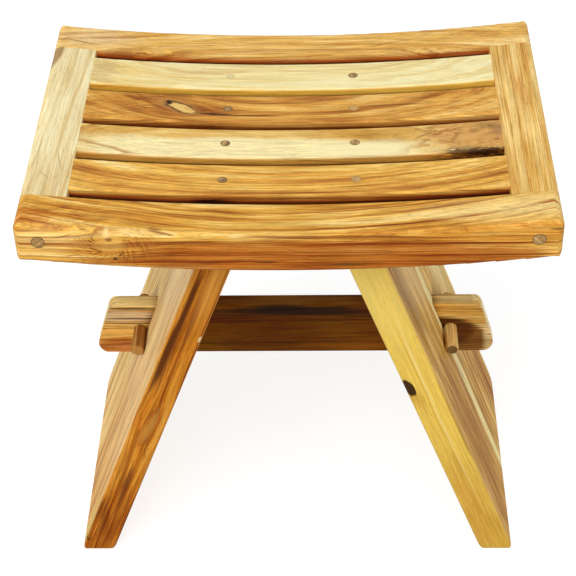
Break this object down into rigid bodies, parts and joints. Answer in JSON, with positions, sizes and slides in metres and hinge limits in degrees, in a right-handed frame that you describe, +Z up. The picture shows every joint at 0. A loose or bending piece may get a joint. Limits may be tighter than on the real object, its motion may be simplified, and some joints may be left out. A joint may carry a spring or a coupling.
{
  "type": "shower bench",
  "caption": "Teak shower bench with a dished, slatted seat on two splayed panel legs, tied by a through stretcher that round pegs lock.",
  "frame": {"origin": "on the floor, under the middle of the seat", "axes": "+X to the bench's right as someone in front of it sees it, +Y to its back, +Z up"},
  "size_m": [0.463, 0.324, 0.4561],
  "materials": {
    "teak_golden": "oiled satin",
    "teak_pale": "oiled satin",
    "teak_brown": "oiled satin",
    "teak_end_grain": "sanded end grain, oiled",
    "stainless_steel": "brushed"
  },
  "bodies": {
    "bench_frame": {"front_rail": "teak_golden", "back_rail": "teak_golden", "left_end_rail": "teak_pale", "right_end_rail": "teak_golden", "slat_1": "teak_pale", "slat_2": "teak_golden", "slat_3": "teak_pale", "slat_4": "teak_golden", "left_cleat": "teak_brown", "right_cleat": "teak_brown", "left_leg_front_board": "teak_brown", "left_leg_rear_board": "teak_pale", "right_leg_front_board": "teak_golden", "right_leg_rear_board": "teak_golden", "stretcher": "teak_brown", "slat_screws": "stainless_steel", "slat_plugs": "teak_end_grain", "frame_screws": "stainless_steel", "frame_plugs": "teak_end_grain"},
    "left_peg": {"left_peg": "teak_brown"},
    "right_peg": {"right_peg": "teak_brown"}
  },
  "joints": [
    {"name": "left_peg_slide", "type": "slide", "parent": "bench_frame", "child": "left_peg", "axis": [0, -1, 0], "range_m": [-0.055, 0.055]},
    {"name": "right_peg_slide", "type": "slide", "parent": "bench_frame", "child": "right_peg", "axis": [0, -1, 0], "range_m": [-0.055, 0.055]}
  ]
}
